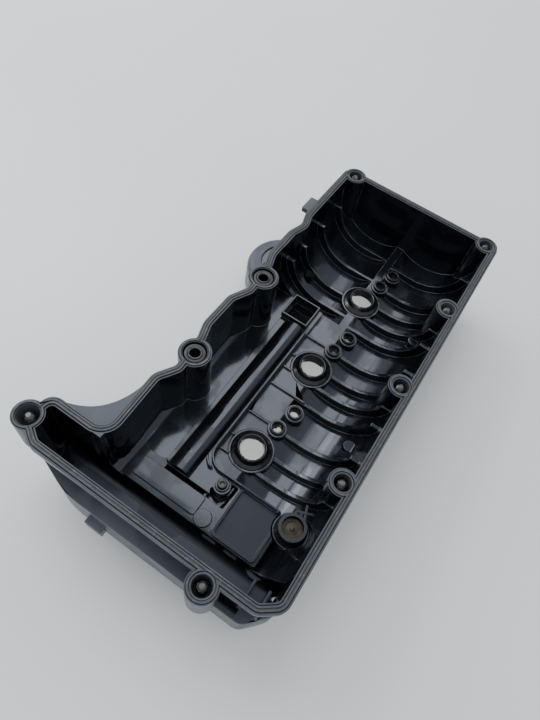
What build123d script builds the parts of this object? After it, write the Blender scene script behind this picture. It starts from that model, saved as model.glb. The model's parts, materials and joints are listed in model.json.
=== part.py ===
from build123d import *
import os

os.makedirs("parts", exist_ok=True)

# Cylinder head cover for one bank of three cylinders, lying on its outer side.
# Millimetres. +Z points out of the gasket face, +X runs along the bank and +Y
# points to the scalloped side. The origin is the bottom centre of its box.

# ---- driving dimensions -------------------------------------------------
TOP = 80.0                      # gasket plane above the surface it stands on
PITCH = 85.0                    # cylinder spacing
WALL = 3.0                      # moulded wall
FLANGE_T = 6.0                  # flange thickness
LIP_OUT = 3.3                   # flange overhang outside the gasket line
LIP_IN = 3.0                    # flange width inside the gasket line

BORE_Y = -26.4                  # row of injector openings
BORE_X = [8.5 - PITCH, 8.5, 8.5 + PITCH]
CAM_OFFSET = 26.6               # camshaft axes either side of the row
CAM_Z = TOP - 14.0              # height of the camshaft tunnels' axes
TUNNEL_R = 42.0                 # inside radius of a camshaft tunnel
RIB_R = 35.0                    # radius that the ribs' free edges follow
CAM_RIGHT_Y = BORE_Y - CAM_OFFSET
CAM_LEFT_Y = BORE_Y + CAM_OFFSET

ROOF_Z = TOP - 49.0             # flat roof between the tunnels
DEEP_Z = CAM_Z - TUNNEL_R       # deepest inside surface
HULL_Z = DEEP_Z - WALL          # lowest outside surface of the plain hull
FRONT_X = -177.5                # outside of the bulged front wall
CHANNEL_X = -143.0              # inner side of the front channel
FAR_X = 178.2                   # gasket line at the far end
SPLIT_X = 61.0                  # start of the left camshaft tunnel
RIGHT_Y = -98.2                 # gasket line on the straight side
LEFT_Y = 45.4                   # gasket line on the scalloped side

# front wall: how far it stands out, where its slope to the flange starts, and that slope
BULGE = 9.0
BULGE_TOP = 57.0
BULGE_SLOPE = 12.0
BULGE_TAPER = 43.0

# bolt stations: x, y, boss radius, cup radius, foot height
RIGHT_BOLT_Y = -91.0
FAR_BOLT_X = 6.0 + 2 * PITCH
BOLTS = {
    "bolt_1": (-157.0, 91.0, 10.5, 7.4, 50.0),
    "bolt_2": (FAR_BOLT_X, 38.0, 9.6, 5.9, 30.0),
    "bolt_3": (FAR_BOLT_X, RIGHT_BOLT_Y, 9.6, 5.9, 30.0),
    "bolt_4": (6.0 + PITCH, RIGHT_BOLT_Y, 9.6, 5.9, 30.0),
    "bolt_5": (6.0, RIGHT_BOLT_Y, 9.6, 5.9, 30.0),
    "bolt_6": (6.0 - PITCH, RIGHT_BOLT_Y, 9.6, 5.9, 30.0),
    "bolt_7": (-175.5, -55.6, 10.1, 6.3, 44.0),
}
EAR_BOLT = BOLTS["bolt_1"]
BOLT_PLACES = [(x, y) for x, y, boss_r, cup_r, foot_z in BOLTS.values()]
HEAD_BORE_R = 7.0               # counterbore that a bolt head runs in
SEAT_Z = 56.0                   # outer face of the bolt seat
GUIDE_R = 4.5                   # hole through the seat
GUIDE_TOP = 68.0                # inner end of the guide hole

# captive M6 bolts, hanging at the outer end of their travel
BOLT_R = 3.0
BOLT_TIP_Z = TOP - 0.6
BOLT_POINT = 0.9                # chamfer at the tip
HEAD_Z = 46.0                   # inner face of the bolt's flange at rest
HEX_R = 5.6
HEX_H = 6.0
HEX_DISH = 1.2                  # depth of the dish in the head
HEAD_FLANGE_T = 1.5
HEAD_FLANGE_R = 6.4

# the two stations without a bolt: a rubber bush round a steel sleeve
OPEN_STATIONS = [(-59.4, 38.0), (-59.4 + PITCH, 38.0)]
OPEN_BOSS_R = 11.8
OPEN_BORE_R = 8.6
SLEEVE_SEAT_Z = 62.0            # shoulder under the rubber bush
SLEEVE_R = 3.6                  # hole through the sleeve
SLEEVE_OUT_R = 5.0

# gasket and its groove
GROOVE_DEPTH = 2.0
GROOVE_HALF = 2.1               # half width of the gasket groove
GASKET_HALF = 1.6               # half width of the gasket's band
GASKET_STAND = 0.8              # gasket above the flange
BEAD_GAP_HALF = 0.35            # groove between the gasket's two beads
BEAD_GAP_DEPTH = 0.7
RING_INSET = 1.75               # middle of a boss's gasket ring, in from its edge
RING_HALF = 0.7                 # half width of that ring
RING_GAP = 0.3                  # groove clearance beside the ring

# injector openings, with the stud tubes beside them measured from each opening
INJECTORS = [(x, BORE_Y) for x in BORE_X]
COLLAR_Z = 24.0                 # outer end of the collars
COLLAR_R = 17.0
COLLAR_BORE_R = 13.0
SEAL_BORE_R = 9.15              # hole through an injector seal
SEAL_LIP_Z = 31.6               # lower end of that hole
STUDS = [(25.0, -6.0), (43.0, -10.0)]
STUD_PLACES = [(x + stud_x, BORE_Y + stud_y) for x in BORE_X for stud_x, stud_y in STUDS]
STUD_BASE_R = 7.5
STUD_BASE_Z = 33.0
STUD_FOOT_Z = 24.6
STUD_BORE_R = 5.0
STUD_RIM_Z = 35.0

# ribs inside, measured from each opening: across the right tunnel, and over the flat roof
# to the separator plate from a start in y; then the left tunnel's, and the low ones outside
RIB_T = 3.2
RIB_X = [-11.3, 4.7, 25.2, 55.3]
ROOF_RIBS = [(-11.3, -14.2), (2.6, -9.8), (25.0, BORE_Y), (55.3, -38.0)]
ROOF_RIB_T = 1.8
ROOF_RIB_H = 4.0
LEFT_RIB_X = [72.0, 92.0, 123.0, 154.0]
OUTER_RIB_X = [-66.0, -34.0, 34.0, 51.0, 120.0, 136.0, 165.0]
OUTER_RIB_T = 2.5
OUTER_RIB_H = 5.0

# round pads low on the right wall, and gussets in the front right corner
PADS = [(-35.0, -83.0), (79.0, -82.0)]
PAD_R = 4.4
PAD_TOP = 40.0
PAD_FOOT_Z = 31.0
GUSSET_Y = (-77.0, -88.0)
GUSSET_T = 2.0

# oil separator plate
PLATE_TOP = 36.0
PLATE_T = 3.0
PLATE_Z = PLATE_TOP - PLATE_T
CHAMBER_WALL = 2.5
PLATE_RIB_TOP = 40.0            # free edge of the plate's double rib
PLATE_RIB_T = 1.4
PLATE_RIGHT_Y = -7.0            # plate edge along the injector row
PLATE_END_X = 58.5              # far end of the plate, past its window
PLATE_FRONT_X = -103.0          # injector side of the plate's front part
WINDOW_RIB_X = 28.0             # the double rib stops this far short of that end
PLATE = [
    ((CHANNEL_X, -73.0), 2.0),
    ((PLATE_FRONT_X, -73.0), 3.0),
    ((PLATE_FRONT_X, PLATE_RIGHT_Y), 12.0),
    ((PLATE_END_X, PLATE_RIGHT_Y), 1.5),
    ((PLATE_END_X, 20.0), 1.5),
    ((-119.0, 17.0), 4.0),
    ((-119.0, 36.0), 3.0),
    ((CHANNEL_X, 36.0), 2.0),
]
DUCT_X = (-120.0, 31.0)         # round-backed duct along the plate, with a sloping left flank
DUCT_WALL = 2.4
DUCT = [(14.2, PLATE_Z), (14.2, 36.6), (7.2, 42.6), (-1.4, 42.6), (-3.6, 36.4), (-3.6, PLATE_Z)]
DUCT_RADII = [0.5, 2.0, 8.0, 6.0, 1.5, 0.5]
WINDOW_X = 46.5                 # square outlet window in the plate
WINDOW_Y = 8.5
WINDOW = 21.0
WINDOW_RIM = 1.5
WINDOW_TOP = 41.0
PANEL_X = -131.6                # raised panel along the front, and the slot behind it
PANEL_Y = 4.5
PANEL_W = 14.6
PANEL_L = 52.0
PANEL_H = 1.2
SLOT_X = (-123.7, -120.7)
SLOT_Y = (-24.0, 14.0)
PUCK = (-136.4, -27.5)          # low round pad at the panel's right end
PUCK_R = 6.2
PUCK_H = 1.0
GUARD = (CHANNEL_X + 20.0, -54.0)   # frame of the guard over the filler
GUARD_H = 1.6
SCREW = (-111.0, -25.0)
SCREW_FOOT_R = 5.6
SCREW_HOLE_Z = 26.0
SCREW_HEAD_R = 3.6
INLET = [(-117.0, -19.6), (-124.0, -23.6), (-124.0, -34.6), (-106.6, -35.8), (-106.6, -27.6)]
INLET_BOSS_R = 6.4

# drain valve on the roof near the front right corner
VALVE = (-110.0, -80.0)
VALVE_SEAT_Z = 37.0
VALVE_TOP_Z = 45.2
VALVE_R = 9.6
VALVE_POCKET_R = 12.4
VALVE_POCKET_H = 26.0
VALVE_DRAIN_R = 3.0
CLIP_EYE = (9.8, 1.4)           # eye and crossed prongs of the valve's clip, from its middle
CLIP_CROSS = (12.9, -2.2)
CLIP_PRONGS = (20.0, -68.0)

# oil filler neck and its cap
FILLER = (-123.0, -48.0)
FILLER_R = 20.0
FILLER_BORE_R = 16.5
FILLER_RIM_Z = 12.0
LEDGE_Z = 15.0                  # bayonet ledge in the neck
LEDGE_T = 3.5
LEDGE_R = 15.2
LUG_W = 9.0
CAP_Z = 1.6
CAP_H = 8.6
CAP_R = 23.3
CAP_GRIPS = 24
CAP_PLUG_R = 14.8

# crankcase pressure regulator and its breather nozzle
REGULATOR = (88.0, 50.0)
REGULATOR_R = 33.0
REGULATOR_TOP = 30.0
REGULATOR_RIM = 8.0
DIAPHRAGM_TOP = 12.0
PISTON_R = 17.0
SPRING_R = 9.0
SPRING_FOOT_Z = 12.6
SPRING_WIRE_R = 0.8
SPRING_PITCH = 3.9
SPRING_TURNS = 3
NOZZLE_Y = 60.0
NOZZLE_Z = 19.6
NOZZLE_PAD_R = 9.6
NOZZLE_FACE_X = REGULATOR[0] + 34.0
NOZZLE_R = 8.0
NOZZLE_L = 26.0
NOZZLE_BORE_R = 5.5
SPIGOT_R = 7.4
SPIGOT_L = 6.0

# posts for the trim cover, with their threaded inserts
POSTS = [(-140.0, -75.0), (160.0, -75.0), (-140.0, 22.2), (160.0, 22.2)]
POST_R = 7.5
INSERT_R = 4.5
INSERT_L = 12.0
INSERT_BORE_R = 2.6

# ---- gasket line ---------------------------------------------------------
# corner points of the line down the middle of the flange, with their radii
LIP = [
    ((FAR_X, RIGHT_Y), 5.0),
    ((FAR_X, LEFT_Y), 5.0),
    ((106.0, LEFT_Y), 14.0),
    ((93.0, 41.4), 12.0),
    ((79.0, LEFT_Y), 14.0),
    ((50.0, LEFT_Y), 14.0),
    ((38.0, 41.5), 8.0),
    ((9.0, 38.5), 8.0),
    ((-6.0, LEFT_Y), 9.0),
    ((-35.0, LEFT_Y), 14.0),
    ((-47.0, 41.5), 8.0),
    ((-76.0, 38.5), 8.0),
    ((-90.0, 46.6), 9.0),
    ((-140.7, 44.0), 12.0),
    ((-140.7, 87.6), 6.0),
    ((-160.0, 89.0), 5.0),
    ((-168.3, 75.0), 9.0),
    ((-168.3, -87.0), 7.0),
    ((-160.0, RIGHT_Y), 7.0),
]
LIP_POINTS = [point for point, radius in LIP]
LIP_RADII = [radius for point, radius in LIP]


def lip_sketch(z, grow):
    """The area inside the gasket line at height z, grown by an amount."""
    with BuildSketch(Plane.XY.offset(z)) as sketch:
        with BuildLine():
            FilletPolyline(*LIP_POINTS, radius=LIP_RADII, close=True)
        make_face()
        if grow:
            offset(amount=grow)
    return sketch.sketch


def save(part, name):
    part.label = name
    export_step(part, f"parts/{name}.step")


def plate_sketch(z, grow):
    """The oil separator plate's outline at height z, grown by an amount."""
    points = [point for point, radius in PLATE]
    radii = [radius for point, radius in PLATE]
    with BuildSketch(Plane.XY.offset(z)) as sketch:
        with BuildLine():
            FilletPolyline(*points, radius=radii, close=True)
        make_face()
        if grow:
            offset(amount=grow)
        with Locations(VALVE):
            Circle(VALVE_POCKET_R + 0.8 - grow, mode=Mode.SUBTRACT)
    return sketch.sketch


def duct_sketch(x, grow):
    """The duct's section across the plate at x, grown by an amount."""
    with BuildSketch(Plane.YZ.offset(x)) as sketch:
        with BuildLine():
            FilletPolyline(*DUCT, radius=DUCT_RADII, close=True)
        make_face()
        if grow:
            offset(amount=grow)
    return sketch.sketch


def tunnel(tunnel_y, x_low, x_high, radius):
    """A camshaft tunnel from x_low to x_high: round below its axis, straight above."""
    with BuildPart() as made:
        with BuildSketch(Plane.YZ.offset(x_low)):
            with Locations((tunnel_y, CAM_Z)):
                Circle(radius)
            with Locations((tunnel_y, (CAM_Z + TOP) / 2)):
                Rectangle(2 * radius, TOP - CAM_Z)
        extrude(amount=x_high - x_low)
    return made.part


def block(x_range, y_range, z_range, corner, side_only=False):
    """A box by its limits, with its lower edges rounded, or only the one on its +Y side."""
    (x_low, x_high), (y_low, y_high), (z_low, z_high) = x_range, y_range, z_range
    with BuildPart() as made:
        with BuildSketch(Plane.XY.offset(z_low)):
            with Locations(((x_low + x_high) / 2, (y_low + y_high) / 2)):
                Rectangle(x_high - x_low, y_high - y_low)
        extrude(amount=z_high - z_low)
        if corner:
            rounded = made.faces().sort_by(Axis.Z)[0].edges()
            fillet(rounded.sort_by(Axis.Y)[-1:] if side_only else rounded, corner)
    return made.part


def cover_space(grow):
    """The hollow under the flange (grow = 0), or the hull around it (grow = WALL)."""
    inner_y = CAM_LEFT_Y + TUNNEL_R + grow
    with BuildPart() as made:
        add(tunnel(CAM_RIGHT_Y, CHANNEL_X - grow, FAR_X + grow, TUNNEL_R + grow))
        add(tunnel(CAM_LEFT_Y, SPLIT_X - grow, FAR_X + grow, TUNNEL_R + grow))
        add(block((CHANNEL_X - grow, FAR_X), (CAM_RIGHT_Y, CAM_LEFT_Y), (ROOF_Z - grow, TOP), 0))
        left_floor = ROOF_Z if grow == 0 else HULL_Z
        left_bay = (BORE_Y - 4.0, inner_y + 4.0)
        add(block((CHANNEL_X - grow, SPLIT_X + grow), left_bay, (left_floor, TOP), 9.0, True))
        front = (FRONT_X - 1.0, CHANNEL_X + grow)
        add(block(front, (RIGHT_Y - grow, 101.0), (DEEP_Z - grow, TOP), 8.0 + grow))
    return made.part


def front_bulge(z, reach):
    """Outline of the front wall, which stands out past the flange by its reach."""
    with BuildSketch(Plane.XY.offset(z)) as sketch:
        with BuildLine():
            FilletPolyline(
                (-150.0, RIGHT_Y),
                (-162.0, RIGHT_Y),
                (-168.5 - reach, -84.0),
                (-168.5 - reach, 48.0),
                (-168.0, 76.0),
                (-150.0, 80.0),
                radius=[3.0, 9.0, 9.0, 60.0, 4.0, 3.0],
                close=True,
            )
        make_face()
    return sketch.sketch


def rib(x, mirrored):
    """A crescent rib across a camshaft tunnel, with its free edge on RIB_R."""
    tunnel_y = CAM_LEFT_Y if mirrored else CAM_RIGHT_Y
    side = -1.0 if mirrored else 1.0
    with BuildPart() as made:
        with BuildSketch(Plane.YZ.offset(x - RIB_T / 2)):
            with Locations((tunnel_y, CAM_Z)):
                Circle(TUNNEL_R + 1.5)
                Circle(RIB_R, mode=Mode.SUBTRACT)
            with Locations((tunnel_y + side * 20.0, ROOF_Z + 30.0)):
                Rectangle(40.0, 60.0, mode=Mode.SUBTRACT)
            with Locations((tunnel_y + side * 34.0, CAM_Z)):
                Rectangle(20.0, 90.0, mode=Mode.SUBTRACT)
            with Locations((tunnel_y, CAM_Z + 24.0)):
                Rectangle(100.0, 60.0, mode=Mode.SUBTRACT)
        extrude(amount=RIB_T)
    return made.part


def outer_rib(x):
    """A low stiffening rib outside, round both camshaft tunnels' outer flanks."""
    with BuildPart() as made:
        with BuildSketch(Plane.YZ.offset(x - OUTER_RIB_T / 2)):
            with Locations((CAM_RIGHT_Y, CAM_Z)):
                Circle(TUNNEL_R + WALL + OUTER_RIB_H)
                Circle(TUNNEL_R + WALL - 0.5, mode=Mode.SUBTRACT)
            with Locations((CAM_RIGHT_Y, CAM_Z + 20.0)):
                Rectangle(120.0, 80.0, mode=Mode.SUBTRACT)
            with Locations((CAM_RIGHT_Y + 52.0, CAM_Z)):
                Rectangle(60.0, 120.0, mode=Mode.SUBTRACT)
        extrude(amount=OUTER_RIB_T)
    return made.part


def at(z, x, y):
    """A plane parallel to the gasket face with its origin over a station."""
    return Plane((x, y, z))


def gasket_sketch(z, half, gap):
    """The gasket's plan: a band along the line, and a ring round every boss."""
    bosses = [(x, y, boss_r) for x, y, boss_r, cup_r, foot_z in BOLTS.values()]
    bosses += [(x, y, OPEN_BOSS_R) for x, y in OPEN_STATIONS]
    with BuildSketch(Plane.XY.offset(z)) as sketch:
        add(lip_sketch(0, half))
        add(lip_sketch(0, -half), mode=Mode.SUBTRACT)
        for x, y, boss_r in bosses:
            ring_r = boss_r - RING_INSET
            with Locations((x, y)):
                Circle(ring_r + RING_HALF + gap)
                Circle(ring_r - RING_HALF - gap, mode=Mode.SUBTRACT)
    return sketch.sketch


# ---- cover shell -----------------------------------------------------------
with BuildPart() as hull_prism:
    add(lip_sketch(HULL_Z - 2.0, 0))
    extrude(amount=TOP - HULL_Z + 2.0)
    add(front_bulge(HULL_Z - 2.0, BULGE))
    extrude(amount=BULGE_TOP - HULL_Z + 2.0)
    add(front_bulge(BULGE_TOP, BULGE))
    extrude(amount=BULGE_SLOPE, taper=BULGE_TAPER)

with BuildPart() as hollow_prism:
    add(lip_sketch(DEEP_Z - 2.0, -LIP_IN))
    extrude(amount=TOP - DEEP_Z + 3.0)

with BuildPart() as plate_block:
    add(plate_sketch(0, 0))
    extrude(amount=PLATE_Z)

with BuildPart() as hollow:
    add(cover_space(0))
    add(hollow_prism.part, mode=Mode.INTERSECT)
    add(plate_block.part, mode=Mode.SUBTRACT)
    with BuildSketch(at(VALVE_SEAT_Z, *VALVE)):
        Circle(VALVE_POCKET_R)
    extrude(amount=VALVE_POCKET_H)
    # the bolt in the ear keeps its own wall down to the bottom
    with BuildSketch(at(DEEP_Z - WALL, *EAR_BOLT[:2])):
        Circle(EAR_BOLT[2])
    extrude(amount=TOP - DEEP_Z + WALL, mode=Mode.SUBTRACT)

with BuildPart() as chamber_limits:
    add(tunnel(CAM_RIGHT_Y, CHANNEL_X, FAR_X, TUNNEL_R))
    add(block((CHANNEL_X, FAR_X), (BORE_Y - 6.0, LEFT_Y), (DEEP_Z, TOP), 0))

with BuildPart() as chamber:
    add(plate_sketch(DEEP_Z, -CHAMBER_WALL))
    extrude(amount=PLATE_Z - DEEP_Z)
    add(chamber_limits.part, mode=Mode.INTERSECT)
    with Locations((FILLER[0], -19.0, DEEP_Z + 10.0)):
        Box(60.0, 2.0, 30.0, mode=Mode.SUBTRACT)

with BuildPart() as flange:
    add(lip_sketch(TOP - FLANGE_T, LIP_OUT))
    extrude(amount=FLANGE_T)
    with BuildSketch(Plane.XY.offset(TOP - FLANGE_T)):
        with BuildLine():
            Spline((-139.0, 89.0), (-134.6, 73.0), (-127.0, 62.0), (-114.0, 53.6), (-94.0, 49.7))
            Polyline((-94.0, 49.7), (-100.0, 44.0), (-140.0, 44.0), (-142.0, 86.0), (-139.0, 89.0))
        make_face()
        with Locations((119.0, LEFT_Y + 4.0)):
            Rectangle(16.0, 12.0)
    extrude(amount=FLANGE_T - 1.4)
    add(hollow_prism.part, mode=Mode.SUBTRACT)

with BuildPart() as regulator_pan:
    with BuildSketch(at(REGULATOR_RIM, *REGULATOR)):
        Circle(REGULATOR_R)
    extrude(amount=REGULATOR_TOP - REGULATOR_RIM)
    fillet(regulator_pan.edges().sort_by(Axis.Z)[-1], 6.0)
    with BuildSketch(at(REGULATOR_TOP, *REGULATOR)):
        Circle(REGULATOR_R - 9.0)
        Circle(REGULATOR_R - 12.0, mode=Mode.SUBTRACT)
    extrude(amount=1.6)

# everything that stands on the walls and the roof, inside and out
with BuildPart() as raised:
    # ribs across the camshaft tunnels
    for bore_x in BORE_X:
        for rib_x in RIB_X:
            add(rib(bore_x + rib_x, False))
    for rib_x in LEFT_RIB_X:
        add(rib(rib_x, True))
    # stiffening ribs outside
    for x in OUTER_RIB_X:
        add(outer_rib(x))
    # bolt towers
    for x, y, boss_r, cup_r, foot_z in BOLTS.values():
        with BuildSketch(at(foot_z, x, y)):
            Circle(boss_r)
        extrude(amount=TOP - foot_z)
    with BuildSketch(Plane.XY.offset(HULL_Z)):
        with Locations(*OPEN_STATIONS):
            Circle(OPEN_BOSS_R)
    extrude(amount=TOP - HULL_Z)
    # injector collars, with the walls of the stud tubes beside them
    with BuildSketch(Plane.XY.offset(COLLAR_Z)):
        with Locations(*INJECTORS):
            Circle(COLLAR_R)
    extrude(amount=ROOF_Z + 0.6 - COLLAR_Z)
    with BuildSketch(Plane.XY.offset(STUD_FOOT_Z)):
        with Locations(*STUD_PLACES):
            Circle(STUD_BASE_R)
    extrude(amount=STUD_BASE_Z - STUD_FOOT_Z)
    # low ribs over the roof, from the collars and tubes to the separator plate
    for bore_x in BORE_X:
        for rib_x, rib_y in ROOF_RIBS:
            if bore_x + rib_x < PLATE_END_X:
                with Locations((bore_x + rib_x, (rib_y + PLATE_RIGHT_Y) / 2, ROOF_Z)):
                    Box(ROOF_RIB_T, PLATE_RIGHT_Y - rib_y, ROOF_RIB_H)
    # round pads low on the right wall
    with BuildSketch(Plane.XY.offset(PAD_FOOT_Z)):
        with Locations(*PADS):
            Circle(PAD_R)
    extrude(amount=PAD_TOP - PAD_FOOT_Z)
    # feet under the drain valve and the plate's screw
    with BuildSketch(at(DEEP_Z + 1.2, *VALVE)):
        Circle(VALVE_POCKET_R)
    extrude(amount=VALVE_SEAT_Z - DEEP_Z - 1.2)
    with BuildSketch(Plane.XY.offset(DEEP_Z)):
        with Locations(SCREW):
            Circle(SCREW_FOOT_R)
    extrude(amount=PLATE_Z - DEEP_Z)
    # gussets on the front right corner
    for gusset_y in GUSSET_Y:
        with BuildSketch(Plane.XZ.offset(-gusset_y)):
            with BuildLine():
                Polyline((-170.0, 25.0), (-149.0, 25.0), (-152.0, 57.0), (-170.0, 64.0), (-170.0, 25.0))
            make_face()
        extrude(amount=GUSSET_T)
    # filler neck, trim posts, harness tab and nozzle pad
    with BuildSketch(at(FILLER_RIM_Z, *FILLER)):
        Circle(FILLER_R)
    extrude(amount=DEEP_Z - FILLER_RIM_Z + 2.6)
    for x, y in POSTS:
        flat_above = x < 0 < y
        with BuildSketch(at(0, x, y)):
            Circle(POST_R)
        extrude(amount=HULL_Z + 1.3 if flat_above else DEEP_Z + 3.4)
    with Locations((FRONT_X - 2.0, 23.0, 42.0)):
        Box(6.0, 13.0, 9.0)
    with BuildSketch(Plane.YZ.offset(REGULATOR[0] + 12.0)):
        with Locations((NOZZLE_Y, NOZZLE_Z)):
            Circle(NOZZLE_PAD_R)
    extrude(amount=NOZZLE_FACE_X - REGULATOR[0] - 12.0)

# every hole and groove
with BuildPart() as cuts:
    # gasket groove, with a ring round every boss
    add(gasket_sketch(TOP - GROOVE_DEPTH, GROOVE_HALF, RING_GAP))
    extrude(amount=GROOVE_DEPTH + 1.0)
    # bolt holes: cup on the gasket side, guide hole, counterbore on the outer side
    for x, y, boss_r, cup_r, foot_z in BOLTS.values():
        with BuildSketch(at(GUIDE_TOP, x, y)):
            Circle(GUIDE_R + 0.3)
        with BuildSketch(at(TOP, x, y)):
            Circle(cup_r)
        loft()
    with BuildSketch(Plane.XY.offset(-1.0)):
        with Locations(*BOLT_PLACES, *OPEN_STATIONS):
            Circle(HEAD_BORE_R)
    extrude(amount=SEAT_Z + 1.0)
    with BuildSketch():
        with Locations(*BOLT_PLACES):
            Circle(GUIDE_R)
    extrude(amount=TOP - 5.0)
    with BuildSketch(Plane.XY.offset(SLEEVE_SEAT_Z)):
        with Locations(*OPEN_STATIONS):
            Circle(OPEN_BORE_R)
    extrude(amount=TOP - SLEEVE_SEAT_Z + 1.0)
    with BuildSketch():
        with Locations(*OPEN_STATIONS):
            Circle(HEAD_BORE_R)
    extrude(amount=TOP)
    # injector bores, stud holes and the valve's drain
    with BuildSketch():
        with Locations(*INJECTORS):
            Circle(COLLAR_BORE_R)
        with Locations(*STUD_PLACES):
            Circle(STUD_BORE_R)
        with Locations(VALVE):
            Circle(VALVE_DRAIN_R)
    extrude(amount=ROOF_Z + 10.0)
    # filler neck bore, leaving a bayonet ledge
    with BuildSketch(at(0, *FILLER)):
        Circle(FILLER_BORE_R)
    extrude(amount=DEEP_Z + 5.0)
    with BuildSketch(at(LEDGE_Z, *FILLER)):
        Circle(FILLER_BORE_R + 1.0)
        Circle(LEDGE_R, mode=Mode.SUBTRACT)
        Rectangle(3 * FILLER_BORE_R, LUG_W + 2.0, mode=Mode.SUBTRACT)
    extrude(amount=LEDGE_T, mode=Mode.SUBTRACT)
    # post holes for the threaded inserts
    with BuildSketch():
        with Locations(*POSTS):
            Circle(INSERT_R)
    extrude(amount=INSERT_L + 1.0)
    # regulator pan, its gas passage and the nozzle's bore
    with BuildSketch(at(REGULATOR_RIM - 1.0, *REGULATOR)):
        Circle(REGULATOR_R - WALL)
    extrude(amount=DIAPHRAGM_TOP - REGULATOR_RIM + 1.0)
    with BuildSketch(at(DIAPHRAGM_TOP, *REGULATOR)):
        Circle(REGULATOR_R - WALL - 2.5)
    extrude(amount=REGULATOR_TOP - 4.0 - DIAPHRAGM_TOP)
    with BuildSketch(at(REGULATOR_TOP - 5.0, REGULATOR[0], 24.0)):
        Circle(5.0)
    extrude(amount=12.0)
    with BuildSketch(Plane.YZ.offset(REGULATOR[0] + 14.0)):
        with Locations((NOZZLE_Y, NOZZLE_Z)):
            Circle(SPIGOT_R)
    extrude(amount=40.0)
    # screw hole and the slots that drain the filler chamber
    with BuildSketch(at(SCREW_HOLE_Z, *SCREW)):
        Circle(1.6)
    extrude(amount=20.0)
    with Locations((CHANNEL_X, -55.0, 30.0), (CHANNEL_X, -38.0, 30.0)):
        Box(12.0, 10.0, 4.0)

with BuildPart() as cover_shell:
    add(cover_space(WALL))
    add(hull_prism.part, mode=Mode.INTERSECT)
    add(regulator_pan.part)
    with BuildSketch(at(VALVE_SEAT_Z - 6.0, *VALVE)):
        Circle(VALVE_POCKET_R + WALL)
    extrude(amount=VALVE_POCKET_H + 6.0)
    add(hollow.part, mode=Mode.SUBTRACT)
    add(chamber.part, mode=Mode.SUBTRACT)
    add(flange.part)
    add(raised.part)
    add(cuts.part, mode=Mode.SUBTRACT)
save(cover_shell.part, "cover_shell")

# ---- perimeter gasket --------------------------------------------------------
with BuildPart() as perimeter_gasket:
    add(gasket_sketch(TOP - GROOVE_DEPTH, GASKET_HALF, 0))
    extrude(amount=GROOVE_DEPTH + GASKET_STAND)
    with BuildSketch(Plane.XY.offset(TOP + GASKET_STAND - BEAD_GAP_DEPTH)):
        add(lip_sketch(0, BEAD_GAP_HALF))
        add(lip_sketch(0, -BEAD_GAP_HALF), mode=Mode.SUBTRACT)
    extrude(amount=BEAD_GAP_DEPTH + 1.0, mode=Mode.SUBTRACT)
save(perimeter_gasket.part, "perimeter_gasket")

# ---- oil separator plate -------------------------------------------------------
with BuildPart() as separator_plate:
    add(plate_sketch(PLATE_Z, 0))
    extrude(amount=PLATE_T)
    # double rib along the injector row and down to the front right corner
    for inset in (0.6, 4.4):
        with BuildSketch(Plane.XY.offset(PLATE_TOP)):
            add(plate_sketch(0, -inset))
            add(plate_sketch(0, -inset - PLATE_RIB_T), mode=Mode.SUBTRACT)
            with Locations((CHANNEL_X + 14.0, 0)):
                Rectangle(46.0, 200.0, mode=Mode.SUBTRACT)
            with Locations((PLATE_END_X, 0)):
                Rectangle(2 * WINDOW_RIB_X, 200.0, mode=Mode.SUBTRACT)
            with Locations((0, LEFT_Y)):
                Rectangle(400.0, 100.0, mode=Mode.SUBTRACT)
        extrude(amount=PLATE_RIB_TOP - PLATE_TOP)
    # duct, hollow and open to the chamber under the plate
    add(duct_sketch(DUCT_X[0], 0))
    extrude(amount=DUCT_X[1] - DUCT_X[0], dir=(1, 0, 0))
    add(duct_sketch(DUCT_X[0] + DUCT_WALL, -DUCT_WALL))
    extrude(amount=DUCT_X[1] - DUCT_X[0] - 2 * DUCT_WALL, dir=(1, 0, 0), mode=Mode.SUBTRACT)
    # outlet window with a raised rim
    with BuildSketch(at(PLATE_TOP, WINDOW_X, WINDOW_Y)):
        Rectangle(WINDOW + 2 * WINDOW_RIM, WINDOW + 2 * WINDOW_RIM)
    extrude(amount=WINDOW_TOP - PLATE_TOP)
    with BuildSketch(at(PLATE_Z, WINDOW_X, WINDOW_Y)):
        Rectangle(WINDOW, WINDOW)
    extrude(amount=PLATE_T + 10.0, mode=Mode.SUBTRACT)
    # raised frame of the filler guard, the panel along the front and the pad at its end
    with BuildSketch(Plane.XY.offset(PLATE_TOP)):
        with Locations(GUARD):
            RectangleRounded(38.0, 34.0, 3.0)
            RectangleRounded(34.0, 30.0, 2.0, mode=Mode.SUBTRACT)
        with Locations(VALVE):
            Circle(VALVE_POCKET_R + 1.2, mode=Mode.SUBTRACT)
    extrude(amount=GUARD_H)
    with BuildSketch(at(PLATE_TOP, PANEL_X, PANEL_Y)):
        RectangleRounded(PANEL_W, PANEL_L, 2.0)
    extrude(amount=PANEL_H)
    with BuildSketch(at(PLATE_TOP, *PUCK)):
        Circle(PUCK_R)
    extrude(amount=PUCK_H)
    # slot behind the panel, and the inlet opening that goes round the screw's boss
    with Locations((sum(SLOT_X) / 2, sum(SLOT_Y) / 2, PLATE_Z + PLATE_T / 2)):
        Box(SLOT_X[1] - SLOT_X[0], SLOT_Y[1] - SLOT_Y[0], PLATE_T + 1.0, mode=Mode.SUBTRACT)
    with BuildSketch(Plane.XY.offset(PLATE_Z)):
        with BuildLine():
            FilletPolyline(*INLET, radius=1.2, close=True)
        make_face()
        with Locations(SCREW):
            Circle(INLET_BOSS_R, mode=Mode.SUBTRACT)
    extrude(amount=PLATE_T, mode=Mode.SUBTRACT)
    with BuildSketch(at(PLATE_TOP, *SCREW)):
        Circle(4.8)
    extrude(amount=2.0)
    with BuildSketch(at(PLATE_Z, *SCREW)):
        Circle(2.2)
    extrude(amount=PLATE_T + 10.0, mode=Mode.SUBTRACT)
save(separator_plate.part, "separator_plate")

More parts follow.
